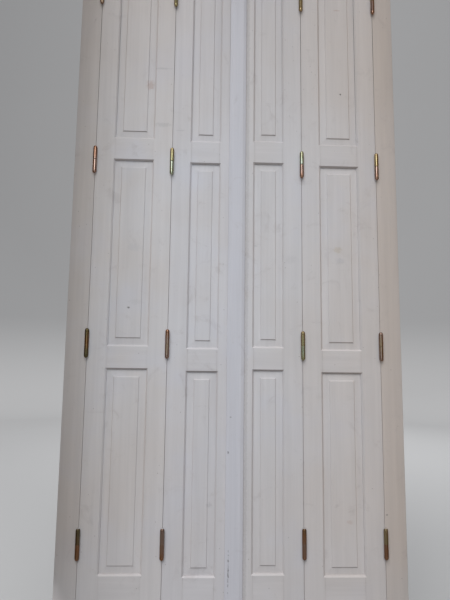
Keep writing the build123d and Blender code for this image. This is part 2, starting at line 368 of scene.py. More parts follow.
def mix(tree, share, first, second):
    """Two colours mixed by a share from 0 to 1."""
    made = node(tree, "Mix", {"data_type": "RGBA"})
    for socket, value in ((0, share), (6, first), (7, second)):
        if isinstance(value, bpy.types.NodeSocket):
            tree.links.new(value, made.inputs[socket])
        else:
            made.inputs[socket].default_value = value
    return made.outputs[2]


def noise(tree, place, scale, stretch=(1, 1, 1), detail=2.0, roughness=0.5, distortion=0.0):
    """Noise of so many features a metre, stretched along the axes."""
    if stretch != (1, 1, 1):
        place = vector(tree, "MULTIPLY", place, stretch)
    inputs = {
        "Vector": place, "Scale": scale, "Detail": detail, "Roughness": roughness,
        "Distortion": distortion,
    }
    return node(tree, "TexNoise", None, inputs).outputs["Fac"]


def dots(tree, place, scale, channel, rarity):
    """Distance to the nearest of scattered dots, and whether that dot is one of the few shown."""
    cells = node(tree, "TexVoronoi", {"feature": "F1"}, {"Vector": place, "Scale": scale})
    number = split(tree, cells.outputs["Color"], "Color")[channel]
    return cells.outputs["Distance"], maths(tree, "GREATER_THAN", number, rarity)


def rgba(colour):
    """A colour with full cover."""
    return (*colour, 1.0)


def coat_tint(tree, paint, given, clouds, head, level):
    """Warm and cool patches, and a painted shade, warmer and darker, towards the head and the foot of
    the frame.
    """
    warm, cool, warmth = rgba(paint.warm), rgba(paint.cool), given["Warmth"]
    colour = mix(tree, ramp(tree, clouds, 0.40, 0.68, to_high=0.30), rgba(paint.colour), warm)
    patches = noise(tree, given["Place"], 3.7, detail=3, roughness=0.6)
    colour = mix(tree, ramp(tree, patches, 0.50, 0.72, to_high=0.45), colour, cool)
    # Each board's warmth, which on the uprights is painted warm bounce light
    colour = mix(tree, product(tree, warmth, 0.6, clamp=True), colour, warm)
    # Painted shade: the coat turns warmer and darker towards the head and the foot
    foot = fall(tree, level, *FOOT_SHADE_LEVELS)
    head_foot_shade = maths(tree, "MULTIPLY_ADD", head, 0.36, product(tree, foot, 0.20))
    colour = mix(tree, head_foot_shade, colour, warm)
    return mix(tree, product(tree, warmth, -0.75, clamp=True), colour, cool)


def coat_shade(tree, colour, growth, laps, bristles, lightness):
    """The colour made lighter and darker by the wood's growth and by the brush."""
    shade = swing(tree, growth, 0.17, 1.0)
    shade = swing(tree, laps, 0.14, shade)
    shade = swing(tree, bristles, 0.06, shade)
    shade = maths(tree, "ADD", shade, lightness)
    return node(tree, "VectorMath", {"operation": "SCALE"}, {0: colour, "Scale": shade}).outputs[0]


def coat_blemishes(tree, colour, along, place, growth, rubbed):
    """Smudges, knots that show through and specks of dirt."""
    colour = mix(tree, ramp(tree, rubbed, 0.56, 0.74, to_high=0.26), colour, SMUDGE)
    drawn_out = vector(tree, "MULTIPLY", along, (1, 1, 0.42))
    away, few = dots(tree, drawn_out, 5.5, channel=0, rarity=0.45)
    warped = maths(tree, "MULTIPLY_ADD", growth, 0.06, away)
    knot = product(tree, fall(tree, warped, 0.055, 0.11), few)
    colour = mix(tree, product(tree, knot, 0.16), colour, KNOT)
    away, few = dots(tree, place, 34.0, channel=1, rarity=0.93)
    return mix(tree, product(tree, fall(tree, away, 0.02, 0.07, top=0.55), few), colour, SPECK)


def edge_gap(tree, place, low, high):
    """Distance to the nearest edge of the box between two corners.

    On a face that is the middle one of the three distances to the box's planes. A place well
    outside a pair of planes counts as a metre away from them.
    """
    below = split(tree, vector(tree, "SUBTRACT", place, low))
    above = split(tree, vector(tree, "SUBTRACT", high, place))
    reach = []
    for axis in range(3):
        near = maths(tree, "MINIMUM", below[axis], above[axis])
        outside = maths(tree, "LESS_THAN", near, -WELL_OUTSIDE)
        reach.append(maths(tree, "ADD", near, outside))
    lesser = maths(tree, "MINIMUM", reach[0], reach[1])
    greater = maths(tree, "MAXIMUM", reach[0], reach[1])
    return maths(tree, "MAXIMUM", lesser, maths(tree, "MINIMUM", greater, reach[2]))


def shaded_undersides_and_joints(tree, paint, colour, across, head):
    """Painted shade, brown as a thin coat, on faces that look down; side faces in the joints darker
    towards the head.
    """
    sideward, _, upward = split(tree, tree.nodes.new("ShaderNodeNewGeometry").outputs["Normal"])
    # Painted shade on faces that look down, with the brown of a thin coat
    colour = mix(tree, ramp(tree, upward, -0.35, -0.65, to_high=0.42), colour, rgba(paint.underside_shade))
    sideways = ramp(tree, maths(tree, "ABSOLUTE", sideward), 0.75, 0.95, to_high=0.9)
    in_joint = maths(tree, "LESS_THAN", maths(tree, "ABSOLUTE", across), JOINT_REACH)
    # Side faces in the joints made darker towards the head
    return mix(tree, product(tree, product(tree, sideways, in_joint), head), colour, JOINT_DARKENING)


def undercoat_group(paint):
    """The brushed undercoat, shared by every board.

    Streaks are noise drawn out along the grain. Edge wear is a smooth step of the distance to
    the nearest edge of the board's box, made ragged by noise.
    """
    tree = bpy.data.node_groups.new("Brushed undercoat", "ShaderNodeTree")
    for way, sockets in COAT_SOCKETS.items():
        for name, kind in sockets.items():
            tree.interface.new_socket(name=name, in_out=way, socket_type="NodeSocket" + kind)
    given = tree.nodes.new("NodeGroupInput").outputs
    along, place = given["Grain place"], given["Place"]
    growth = noise(tree, along, 60, (1, 1, 0.03), detail=5, roughness=0.62, distortion=0.4)
    bristles = noise(tree, along, 520, (1, 1, 0.012), detail=3)
    laps = noise(tree, along, 16, (1, 1, 0.12), detail=3)
    clouds = noise(tree, place, 2.6, detail=3, roughness=0.6)
    rubbed = noise(tree, place, 13, detail=6, roughness=0.68, distortion=0.8)
    grit = noise(tree, place, 900, detail=2)
    across, _, level = split(tree, place)
    head = ramp(tree, level, *HEAD_SHADE_LEVELS)

    colour = coat_tint(tree, paint, given, clouds, head, level)
    colour = coat_shade(tree, colour, growth, laps, bristles, given["Lightness"])
    colour = coat_blemishes(tree, colour, along, place, growth, rubbed)
    edge = edge_gap(tree, place, given["Low corner"], given["High corner"])
    ragged = swing(tree, rubbed, -EDGE_RAGGED, edge)
    worn = product(tree, fall(tree, ragged, 0.0, EDGE_WORN, top=0.22), given["Wear"])
    halo = product(tree, fall(tree, ragged, 0.0, EDGE_SOILED, top=0.05), given["Wear"])
    for share in (worn, halo):
        colour = mix(tree, share, colour, rgba(paint.grime))
    # Painted shade under the rails, and darker side faces in the joints towards the head
    colour = shaded_undersides_and_joints(tree, paint, colour, across, head)

    rough = swing(tree, bristles, 0.16, 0.58)
    rough = maths(tree, "MULTIPLY_ADD", clouds, 0.10, rough)
    rough = maths(tree, "MULTIPLY_ADD", worn, 0.25, rough)
    height = growth
    for pattern, share in ((bristles, 0.30), (laps, 0.5), (grit, 0.06), (worn, -0.5)):
        height = maths(tree, "MULTIPLY_ADD", pattern, share, height)
    out = tree.nodes.new("NodeGroupOutput").inputs
    for name, socket in (("Color", colour), ("Roughness", rough), ("Height", height)):
        tree.links.new(socket, out[name])
    return tree


def marked(tree, colour, place, low, high):
    """The colour with the small marks whose middles lie in the box of this board, on its front.

    A mark's strength falls by a smooth step of the distance from its middle, counted in its own
    half width and half height and made ragged by noise, most of all where the paint flakes.
    """
    ragged = None
    for name, (kind, (x, z), (half_width, half_height), strength) in MARKS.items():
        if not (low[0] < x < high[0] and low[2] < z < high[2]):
            continue
        if ragged is None:
            ragged = maths(tree, "SUBTRACT", noise(tree, place, 140, detail=4, roughness=0.65), 0.5)
        away = vector(tree, "SUBTRACT", place, (x, low[1], z))
        counted = vector(tree, "MULTIPLY", away, (1 / half_width, 1 / MARK_DEPTH, 1 / half_height))
        length = node(tree, "VectorMath", {"operation": "LENGTH"}, {0: counted}).outputs["Value"]
        breaks = 9.0 if name.startswith("flaking") else 2.4
        length = maths(tree, "MULTIPLY_ADD", ragged, breaks, length)
        share = fall(tree, length, 0.4, 1.4, top=strength)
        colour = mix(tree, share, colour, rgba(MARK_COLOURS[kind]))
    return colour


def new_finish(name):
    """A material with nothing in it yet, its tree, and the place on the piece."""
    made = bpy.data.materials.new(name)
    made.use_nodes = True
    made.node_tree.nodes.clear()
    return made, made.node_tree, node(made.node_tree, "TexCoord").outputs["Object"]


def closed_finish(made, plain, bump, surface):
    """The material with its bump and surface joined, and a plain colour for simple views."""
    tree = made.node_tree
    normal = node(tree, "Bump", None, bump).outputs[0]
    shader = node(tree, "BsdfPrincipled", None, {**surface, "Normal": normal})
    node(tree, "OutputMaterial", None, {0: shader.outputs[0]})
    made.diffuse_color = rgba(plain)
    return made


def board_finish(paint, name, box, inset, lengthwise, tone, wear):
    """Painted timber for one board: its own stretch of grain, running lengthwise 'X' or 'Z'."""
    made, tree, place = new_finish(name)
    seed = sum((i + 3) * ord(letter) for i, letter in enumerate(name))
    shift = (seed % 17 * 1.37, seed % 23 * 0.91, seed % 29 * 1.13)
    turn = (0, math.pi / 2, 0) if lengthwise == "X" else (0, 0, 0)
    grain = node(tree, "Mapping", None, {"Vector": place, "Location": shift, "Rotation": turn})
    group = bpy.data.node_groups.get("Brushed undercoat") or undercoat_group(paint)
    coat = node(tree, "Group", {"node_tree": group}, {
        "Grain place": grain.outputs[0], "Place": place, "Low corner": box[0] + inset,
        "High corner": box[1] - inset, "Lightness": tone[0] + (seed % 7 - 3) * 0.004,
        "Warmth": tone[1], "Wear": wear,
    }).outputs
    bump = {"Height": coat["Height"], "Distance": paint.grain_height, "Strength": 0.8}
    surface = {
        "Base Color": marked(tree, coat["Color"], place, *box), "Roughness": coat["Roughness"],
        "Specular IOR Level": 0.35,
    }
    return closed_finish(made, paint.colour, bump, surface)


def painted_tip_glint(tree, sizes, level):
    """Where the lowest hinges' upper tips face up: the share of a painted highlight of pale zinc."""
    upward = split(tree, tree.nodes.new("ShaderNodeNewGeometry").outputs["Normal"])[2]
    shoulder = HINGE_LEVELS[0] + sizes.half_height
    lowest = maths(tree, "COMPARE", level, shoulder + 1.5 * MM, 4.5 * MM)
    return product(tree, ramp(tree, upward, 0.66, 0.94), lowest)


def hinge_finish(sizes):
    """Yellow zinc plate: the film attribute and slow noise choose the colour of the thin film.

    Towards the foot of the frame the film is dull and dark, by a smooth step of the height.
    """
    made, tree, place = new_finish("Yellow zinc plate")
    film = node(tree, "Attribute", {"attribute_name": "film"}).outputs["Fac"]
    drift = noise(tree, place, 55, (1, 1, 0.35), detail=3, roughness=0.6)
    streak = noise(tree, place, 900, (1, 1, 0.05), detail=2)
    tone = swing(tree, drift, 0.40, film)
    tone = swing(tree, streak, 0.06, tone, clamp=True)
    stops = node(tree, "ValToRGB", None, {0: tone})
    elements = stops.color_ramp.elements
    for i, (at, colour) in enumerate(FILM_COLOURS.items()):
        element = elements[i] if i < 2 else elements.new(at)
        element.position = at
        element.color = rgba(colour)
    level = split(tree, place)[2]
    age = fall(tree, level, *HINGES_AGED)
    colour = mix(tree, product(tree, age, 0.50), stops.outputs[0], DULL_FILM)
    spots = ramp(tree, noise(tree, place, 260, detail=4, roughness=0.7), 0.58, 0.72, to_high=0.6)
    spots = product(tree, spots, maths(tree, "MULTIPLY_ADD", age, 0.7, 0.3))
    colour = mix(tree, spots, colour, RUST_SPOT)
    # Painted highlight on the upward tips of the lowest hinges
    colour = mix(tree, painted_tip_glint(tree, sizes, level), colour, TIP_GLINT_ZINC)
    rough = maths(tree, "MULTIPLY_ADD", streak, 0.14, 0.14)
    rough = maths(tree, "MULTIPLY_ADD", age, 0.12, rough)
    rough = maths(tree, "MULTIPLY_ADD", spots, 0.4, rough)
    height = maths(tree, "MULTIPLY_ADD", spots, -0.4, streak)
    bump = {"Height": height, "Distance": 0.04 * MM, "Strength": 0.7}
    surface = {"Base Color": colour, "Metallic": 1.0, "Roughness": rough}
    return closed_finish(made, (0.6, 0.5, 0.25), bump, surface)


def bolt_finish():
    """Bright zinc: brushed along the bolt, with dull bloom and small dark freckles."""
    made, tree, place = new_finish("Bright zinc plate")
    brushed = noise(tree, place, 1400, (1, 1, 0.02), detail=3)
    bloom = ramp(tree, noise(tree, place, 90, detail=5, roughness=0.65), 0.42, 0.66)
    freckle = ramp(tree, noise(tree, place, 420, detail=3, roughness=0.7), 0.62, 0.72, to_high=0.6)
    colour = mix(tree, bloom, BRIGHT_ZINC, BLOOMED_ZINC)
    colour = mix(tree, freckle, colour, FRECKLE)
    rough = maths(tree, "MULTIPLY_ADD", brushed, 0.20, 0.24)
    rough = maths(tree, "MULTIPLY_ADD", bloom, 0.16, rough)
    bump = {"Height": brushed, "Distance": 0.03 * MM, "Strength": 0.7}
    surface = {"Base Color": colour, "Metallic": 1.0, "Roughness": rough}
    return closed_finish(made, (0.6, 0.61, 0.63), bump, surface)


def in_scene(mesh, material):
    """A new object in the scene, named for its mesh, with the material."""
    made = bpy.data.objects.new(mesh.name, mesh)
    bpy.context.scene.collection.objects.link(made)
    mesh.materials.append(material)
    return made


def put_in_scene(mesh, node_name, material):
    """The mesh as a piece that rides with its CAD node's body and stands for the node."""
    piece = in_scene(mesh, material)
    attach(piece, NODE_BODY[node_name])
    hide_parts(node_name)
    return piece


def coinciding(points, step):
    """The first of each set of points that coincide, and each point's place among those."""
    cells = np.round(points / step).astype(np.int64)
    _, first, shared = np.unique(cells, axis=0, return_index=True, return_inverse=True)
    return first, shared.ravel()


def merged_board(node_name, name):
    """A copy of a CAD node with its doubles merged and its flat neighbours joined."""
    source = frame["nodes"][node_name].data
    source.calc_loop_triangles()
    corners = np.zeros(len(source.vertices) * 3)
    source.vertices.foreach_get("co", corners)
    corners = corners.reshape(-1, 3)
    faces = np.zeros(len(source.loop_triangles) * 3, np.int32)
    source.loop_triangles.foreach_get("vertices", faces)
    first, shared = coinciding(corners, 0.02 * MM)
    a, b, c = shared[faces].reshape(-1, 3).T
    whole = (a != b) & (b != c) & (c != a)
    mesh = bpy.data.meshes.new(name)
    mesh.from_pydata(corners[first].tolist(), [], np.stack([a, b, c], -1)[whole].tolist())
    solid = bmesh.new()
    solid.from_mesh(mesh)
    bmesh.ops.dissolve_limit(
        solid, angle_limit=math.radians(0.5), use_dissolve_boundaries=False,
        verts=solid.verts, edges=solid.edges, delimit=set(),
    )
    solid.to_mesh(mesh)
    solid.free()
    mesh.update()
    return mesh


def weigh_edges(mesh, planes, shortest):
    """Give full bevel weight to the sharp outer edges that lie on the given depth planes."""
    solid = bmesh.new()
    solid.from_mesh(mesh)
    weights = np.zeros(len(solid.edges), np.float32)
    for i, edge in enumerate(solid.edges):
        if len(edge.link_faces) != 2 or edge.calc_length() < shortest:
            continue
        depths = [v.co.y for v in edge.verts]
        on_plane = any(all(abs(d - plane) < 0.05 * MM for d in depths) for plane in planes)
        weights[i] = on_plane and edge.calc_face_angle_signed() > math.radians(20)
    solid.free()
    layer = mesh.attributes.new("bevel_weight_edge", "FLOAT", "EDGE")
    layer.data.foreach_set("value", weights)


def ease_edges(piece, width):
    """Round the weighted edges."""
    rounding = piece.modifiers.new("Eased edges", "BEVEL")
    rounding.limit_method = "WEIGHT"
    rounding.width = width
    rounding.segments = 2


def paint_board(
    paint, node_name, lengthwise, tone, inset_x=0.0, inset_z=0.0, planes=(LEAF_FRONT, LEAF_BACK),
    wear=1.0,
):
    """One board, merged, eased and painted; its worn box is the node's box less the insets."""
    name = node_name + "_painted"
    mesh = merged_board(node_name, name)
    weigh_edges(mesh, planes, 6 * MM)
    inset = Vector((inset_x, 0.0, inset_z))
    finish = board_finish(paint, name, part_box(node_name), inset, lengthwise, tone, wear)
    ease_edges(put_in_scene(mesh, node_name, finish), paint.edge_radius)


def sheet_of(points, closed_round=True):
    """Vertices and quads of a grid of points, rows by columns, joined round the columns."""
    rows, columns = points.shape[:2]
    index = np.arange(rows * columns).reshape(rows, columns)
    following = np.roll(index, -1, axis=1) if closed_round else index[:, 1:]
    here = index if closed_round else index[:, :-1]
    quads = np.stack([here[:-1], following[:-1], following[1:], here[1:]], axis=-1).reshape(-1, 4)
    return points.reshape(-1, 3), quads


def turned(profile, centre, axis, sides):
    """A turned solid.

    Each profile point (r, h) is carried round the axis: the point at angle a stands r cos a and
    r sin a across the axis and h along it.
    """
    angle = np.arange(sides) * 2 * math.pi / sides
    radius, along = np.asarray(profile, float).T
    across = np.stack([np.cos(angle), np.sin(angle)], axis=-1)[None] * radius[:, None, None]
    height = np.broadcast_to(along[:, None, None], (*across.shape[:2], 1))
    local = np.concatenate([across, height], axis=-1)
    if axis == "Y":
        local = local[..., [1, 2, 0]]
    return sheet_of(local + np.asarray(centre, float))


def joined(name, grids, films=None):
    """One mesh of several grids; points that coincide become one, and faces point outwards.

    The films, one for each point of the grids in turn, become the mesh's film attribute.
    """
    points = np.concatenate([grid_points for grid_points, _ in grids])
    starts = np.cumsum([0] + [len(grid_points) for grid_points, _ in grids[:-1]])
    quads = np.concatenate([grid_quads + start for (_, grid_quads), start in zip(grids, starts)])
    first, shared = coinciding(points, 0.002 * MM)
    faces = []
    for quad in shared[quads].tolist():
        ring = [v for i, v in enumerate(quad) if v != quad[i - 1]]
        if len(set(ring)) == len(ring) and len(ring) > 2:
            faces.append(ring)
    mesh = bpy.data.meshes.new(name)
    mesh.from_pydata(points[first].tolist(), [], faces)
    solid = bmesh.new()
    solid.from_mesh(mesh)
    bmesh.ops.recalc_face_normals(solid, faces=solid.faces)
    solid.to_mesh(mesh)
    solid.free()
    if films is not None:
        layer = mesh.attributes.new("film", "FLOAT", "POINT")
        layer.data.foreach_set("value", films[first].astype(np.float32))
    mesh.shade_smooth()
    mesh.set_sharp_from_angle(angle=math.radians(32))
    mesh.update()
    return mesh


def slab(low, high):
    """The six faces of a square block between two corners, as grids of corner points."""
    low, high = np.asarray(low, float), np.asarray(high, float)
    grids = []
    for axis in range(3):
        first, second = [i for i in range(3) if i != axis]
        for end in (low[axis], high[axis]):
            corners = np.zeros((2, 2, 3))
            corners[..., axis] = end
            corners[0, :, first], corners[1, :, first] = low[first], high[first]
            corners[:, 0, second], corners[:, 1, second] = low[second], high[second]
            grids.append(sheet_of(corners, closed_round=False))
    return grids


def knuckle_profile(sizes, way, groove):
    """Radius and height of a knuckle from its bearing to its tip.

    The barrel is straight, with a groove at the bearing and one ring under the shoulder. From the
    shoulder on, the radius is that of the barrel times cos(t) to the power of the bluntness while
    the height rises by sin(t), t from 0 to a right angle, so that the tip is blunt like an olive's.
    """
    radius, shoulder = sizes.radius, sizes.half_height - sizes.taper
    reach = sizes.taper + sizes.tip
    turn = np.linspace(0, math.pi / 2, 13)[1:-1]
    tip = [(radius * math.cos(t) ** BLUNTNESS, shoulder + reach * math.sin(t)) for t in turn]
    profile = [
        (0, BEARING), (radius - 1.6 * groove, BEARING),
        (radius - 0.64 * groove, BEARING + 0.3 * groove), (radius, BEARING + groove),
    ]
    straight = np.linspace(BEARING + groove, shoulder - RING_BELOW[0], 9)[1:]
    profile += [(radius, h) for h in straight]
    profile += [(radius - RING_DEPTH, shoulder - below) for below in RING_BELOW[1:3]]
    profile += [(radius, shoulder - RING_BELOW[3]), (radius, shoulder)]
    profile += tip + [(0, shoulder + reach)]
    return [(r, way * h) for r, h in profile]


def outline_of(ys, zs):
    """The closed outline of a rectangle (y, z), by its stations across and up."""
    return np.concatenate([
        np.stack([ys, np.full(len(ys), zs[0])], -1)[:-1],
        np.stack([np.full(len(zs), ys[-1]), zs], -1)[:-1],
        np.stack([ys[::-1], np.full(len(ys), zs[-1])], -1)[:-1],
        np.stack([np.full(len(zs), ys[0]), zs[::-1]], -1)[:-1],
    ])


def set_at(x, outlines):
    """Outlines (y, z) set up at one x, or each at its own, as rows of points."""
    return np.stack([
        np.concatenate([np.full((len(outline), 1), each), outline], 1)
        for each, outline in zip(np.broadcast_to(x, len(outlines)), outlines)
    ])


def cross_cut(points, centre, radius):
    """Depth of the driver's cross in a screw head, by how near a point is to the head's axes."""
    away = np.abs(points - centre)
    arm = np.clip((CROSS_HALF_WIDTH - away.min(axis=1)) / (0.25 * MM), 0, 1)
    end = np.clip((CROSS_REACH * radius - away.max(axis=1)) / (0.3 * MM), 0, 1)
    return arm * end * CROSS_DEPTH


def screwed_cell(ys, zs, centre, radius, plane_x, outward):
    """One stretch of a hinge plate with a countersunk screw in it.

    Rings run from the screw's middle to the rim of its hole and on to the stretch's outline:
    a ring at share s lies at (1 - s) times the rim point plus s times the outline point. The
    depth is the flat head's with the cross cut in it, then the countersink's, then none.
    """
    outline = outline_of(ys, zs)
    away = outline - centre
    unit = away / np.linalg.norm(away, axis=1, keepdims=True)
    rim = centre + unit * (radius + HOLE_GAP)
    rings = [centre + unit * radius * share for share in HEAD_RINGS]
    depths = [HEAD_SUNK + cross_cut(ring, centre, radius) for ring in rings]
    rings += [centre + unit * (radius + 0.02 * MM), rim]
    depths += [np.full(len(outline), COUNTERSINK), np.zeros(len(outline))]
    for share in (0.35, 1.0):
        rings.append(rim * (1 - share) + outline * share)
        depths.append(np.zeros(len(outline)))
    points = set_at(plane_x, rings)
    points[..., 0] -= outward * np.stack(depths)
    return sheet_of(points)


def hinge_plate(line, toward, level, sizes):
    """A hinge plate: four screwed stretches on the open face, and plain sides and back."""
    near, far = (line + toward * face for face in PLATE_FACES)
    side = PLATE_STATIONS // 4
    ys = np.linspace(LEAF_FRONT, LEAF_FRONT + PLATE_DEPTH, side + 1)
    zs = np.linspace(level - sizes.half_height, level + sizes.half_height, PLATE_SCREWS * side + 1)
    grids = []
    for i in range(PLATE_SCREWS):
        stretch = zs[i * side:(i + 1) * side + 1]
        centre = np.array([LEAF_FRONT + SCREW_SETBACKS[i % 2], (stretch[0] + stretch[-1]) / 2])
        grids.append(screwed_cell(ys, stretch, centre, sizes.screw_radius, near, -toward))
    outline = outline_of(ys, zs)
    middle = np.array([(ys[0] + ys[-1]) / 2, (zs[0] + zs[-1]) / 2])
    grids.append(sheet_of(set_at((near, far), (outline, outline))))
    grids.append(sheet_of(set_at(far, (outline, middle + 0 * outline))))
    return grids


def hinge_node(name, line, toward, way, sizes, films):
    """Every half hinge of one line: knuckles, the webs behind them, and screwed plates.

    The film value of a knuckle drifts by a tenth from its bearing to its tip.
    """
    grids, values = [], []
    web_x = sorted(line + toward * face for face in PLATE_FACES)
    for level, film, groove in zip(HINGE_LEVELS, films, BEARING_GROOVES):
        profile = knuckle_profile(sizes, way, groove)
        knuckle = turned(profile, (line, HINGE_Y, level), "Z", sizes.sides)
        height = np.abs(knuckle[0][:, 2] - level) / (sizes.half_height + sizes.tip)
        ends = sorted((level + way * BEARING, level + way * sizes.half_height))
        plate = slab((web_x[0], HINGE_Y, ends[0]), (web_x[1], LEAF_FRONT, ends[1]))
        plate += hinge_plate(line, toward, level, sizes)
        plate_film = 0.34 + 0.1 * math.sin(9 * level + 5 * line)
        grids += [knuckle, *plate]
        values.append(film + 0.1 * (height - 0.5))
        values += [np.full(len(points), plate_film) for points, _ in plate]
    return joined(name, grids, np.concatenate(values))


def bolt_bar(x, tip, tail):
    """A flat bar along Z, one square section after another.

    The tip's section is the bar's drawn in by the chamfer, and the ends close on their middles.
    """
    middle = sum(BOLT_FACES) / 2
    half_width, half_depth = BOLT_WIDTH / 2, (BOLT_FACES[1] - BOLT_FACES[0]) / 2
    eased = tip + math.copysign(BOLT_CHAMFER, tail - tip)
    sections = np.array([
        (tip, 0, 0), (tip, half_width - BOLT_CHAMFER, half_depth - BOLT_CHAMFER),
        (eased, half_width, half_depth), (tail, half_width, half_depth), (tail, 0, 0),
    ])
    level, wide, deep = sections.T[..., None]
    across, back = np.array([(-1, -1), (1, -1), (1, 1), (-1, 1)]).T
    return sheet_of(np.stack([x + wide * across, middle + deep * back, level + 0 * across], axis=-1))


def knob_profile(radius, length):
    """Radius and height of the bolt's turned knob.

    A waisted neck, then an olive: its radius is the knob's times cos(t) to the power of the
    bluntness while the height runs with sin(t).
    """
    sunk, waist = -0.6 * MM, 0.62 * radius
    neck = [(0, sunk), (waist, sunk), (waist, 0.30 * length), (0.70 * radius, 0.40 * length)]
    half = 0.29 * length
    turn = np.linspace(-0.95, math.pi / 2, 12)[:-1]
    olive = [(radius * math.cos(t) ** BLUNTNESS, length - half + half * math.sin(t)) for t in turn]
    return neck + olive + [(0, length)]


def screw_heads(name, centres, radius, finish):
    """Round screw heads: a low dome of radius r cos(t) and height h sin(t)."""
    height, sunk = 1.1 * MM, 0.3 * MM
    turn = np.linspace(0, math.pi / 2, 7)[:-1]
    dome = [(radius * math.cos(t), height * math.sin(t)) for t in turn]
    profile = [(0, -sunk), (radius, -sunk), *dome, (0, height)]
    return in_scene(joined(name, [turned(profile, at, "Y", 20) for at in centres]), finish)


def bolt_guides(side, x, sizes, finish):
    """The eased guides of one leaf with the screws of their plates; their knobs' levels."""
    name = side + "_bolt_guides"
    low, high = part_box(name)
    mesh = merged_board(name, name + "_plated")
    weigh_edges(mesh, (GUIDE_PLATE_FACE, GUIDE_BACK), 2 * MM)
    ease_edges(put_in_scene(mesh, name, finish), 0.4 * MM)
    centres = [
        (x + across, GUIDE_PLATE_FACE, end + inward * up)
        for end, inward in ((low[2], 1), (high[2], -1))
        for up in GUIDE_SCREWS_UP
        for across in (-GUIDE_SCREWS_ACROSS, GUIDE_SCREWS_ACROSS)
    ]
    heads = screw_heads(name + "_screws", centres, sizes.screw_radius, finish)
    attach(heads, NODE_BODY[name])
    return low[2] + GUIDE_PLATE_LENGTH / 2, high[2] - GUIDE_PLATE_LENGTH / 2


class SHUTTERS_OT_frame(bpy.types.Operator):
    """Ease and paint the fixed frame's uprights, head and sill"""

    bl_idname = "shutters.frame"
    bl_label = "Fixed frame"

    def execute(self, context):
        paint = context.scene.shutter_paint
        planes = (LEAF_FRONT, STOP_FRONT, FRAME_BACK)
        # The uprights' tones hold painted warm bounce light and painted shade
        for side, tone in UPRIGHT_TONES_WITH_PAINTED_LIGHT.items():
            paint_board(paint, side + "_upright", "Z", tone, planes=planes)
        for name in ("sill", "head"):
            paint_board(paint, name, "X", CROSSPIECE_TONE, FRAME_TENON, planes=planes)
        return {"FINISHED"}


class SHUTTERS_OT_leaves(bpy.types.Operator):
    """Ease and paint the stiles, rails and raised panels of the four leaves"""

    bl_idname = "shutters.leaves"
    bl_label = "Leaves"

    def execute(self, context):
        paint = context.scene.shutter_paint
        for leaf, (tone, wear) in LEAF_TONES.items():
            for stile in ("stile_out", "stile_in"):
                paint_board(paint, f"{leaf}_{stile}", "Z", tone, wear=wear)
            for rail in ("bottom_rail", "lower_rail", "upper_rail", "top_rail"):
                paint_board(paint, f"{leaf}_{rail}", "X", tone, RAIL_TENON, wear=wear)
            for panel in ("bottom_panel", "middle_panel", "top_panel"):
                paint_board(
                    paint, f"{leaf}_{panel}", "Z", tone, FIELD_INSET, FIELD_INSET, FIELD_FACES,
                    PANEL_WEAR * wear,
                )
        return {"FINISHED"}


class SHUTTERS_OT_cover_strip(bpy.types.Operator):
    """Ease and paint the strip over the meeting joint"""

    bl_idname = "shutters.cover_strip"
    bl_label = "Cover strip"

    def execute(self, context):
        paint = context.scene.shutter_paint
        paint_board(paint, "cover_strip", "Z", STRIP_TONE, planes=STRIP_FACES, wear=STRIP_WEAR)
        return {"FINISHED"}


class SHUTTERS_OT_hinges(bpy.types.Operator):
    """Make the lift-off hinges with rounded tips and screwed plates"""

    bl_idname = "shutters.hinges"
    bl_label = "Hinges"

    def execute(self, context):
        sizes = context.scene.shutter_hinges
        finish = bpy.data.materials.get("Yellow zinc plate") or hinge_finish(sizes)
        for (side, place), pairs in HINGE_FILMS.items():
            sign = SIDES[side]
            for kind, toward, way in (("fixed", sign, -1), ("lifting", -sign, 1)):
                films = [pair[way > 0] for pair in pairs]
                name = f"{side}_{place}_hinges_{kind}"
                low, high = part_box(name)
                line = (low[0] + high[0]) / 2
                mesh = hinge_node(name + "_plated", line, toward, way, sizes, films)
                if len(mesh.polygons) == 0:
                    raise RuntimeError(f"{name} came out empty")
                put_in_scene(mesh, name, finish)
        return {"FINISHED"}


class SHUTTERS_OT_bolts(bpy.types.Operator):
    """Make the slide bolts with turned knobs, and their screwed guides"""

    bl_idname = "shutters.bolts"
    bl_label = "Slide bolts"

    def execute(self, context):
        sizes = context.scene.shutter_bolts
        finish = bpy.data.materials.get("Bright zinc plate") or bolt_finish()
        profile = knob_profile(sizes.knob_radius, sizes.knob_length)
        for side, sign in SIDES.items():
            x = sign * BOLT_X
            for end, level in zip(("bottom", "top"), bolt_guides(side, x, sizes, finish)):
                name = f"{side}_{end}_bolt"
                low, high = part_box(name)
                tip, tail = (low[2], high[2]) if end == "bottom" else (high[2], low[2])
                knob = turned(profile, (x, BOLT_FACES[1], level), "Y", 32)
                mesh = joined(name + "_plated", [bolt_bar(x, tip, tail), knob])
                weigh_edges(mesh, BOLT_FACES, 4 * MM)
                ease_edges(put_in_scene(mesh, name, finish), 0.6 * MM)
        return {"FINISHED"}


def matt_finish(name, roughness):
    """A material of one rough surface, and its shader."""
    made = bpy.data.materials.new(name)
    made.use_nodes = True
    shader = made.node_tree.nodes["Principled BSDF"]
    shader.inputs["Roughness"].default_value = roughness
    return made, shader


def side_card(sign):
    """A warm card beside the frame, out of the camera's sight, that shades its edge."""
    x = sign * CARD_X
    (front, back), (foot, head) = CARD_DEPTHS, CARD_LEVELS
    mesh = bpy.data.meshes.new("side_card")
    corners = [(x, back, foot), (x, front, foot), (x, front, head), (x, back, head)]
    mesh.from_pydata(corners, [], [(0, 1, 2, 3)])
    finish, shader = matt_finish("Warm card", 0.9)
    shader.inputs["Base Color"].default_value = WARM_CARD
    card = in_scene(mesh, finish)
    card.visible_camera = False


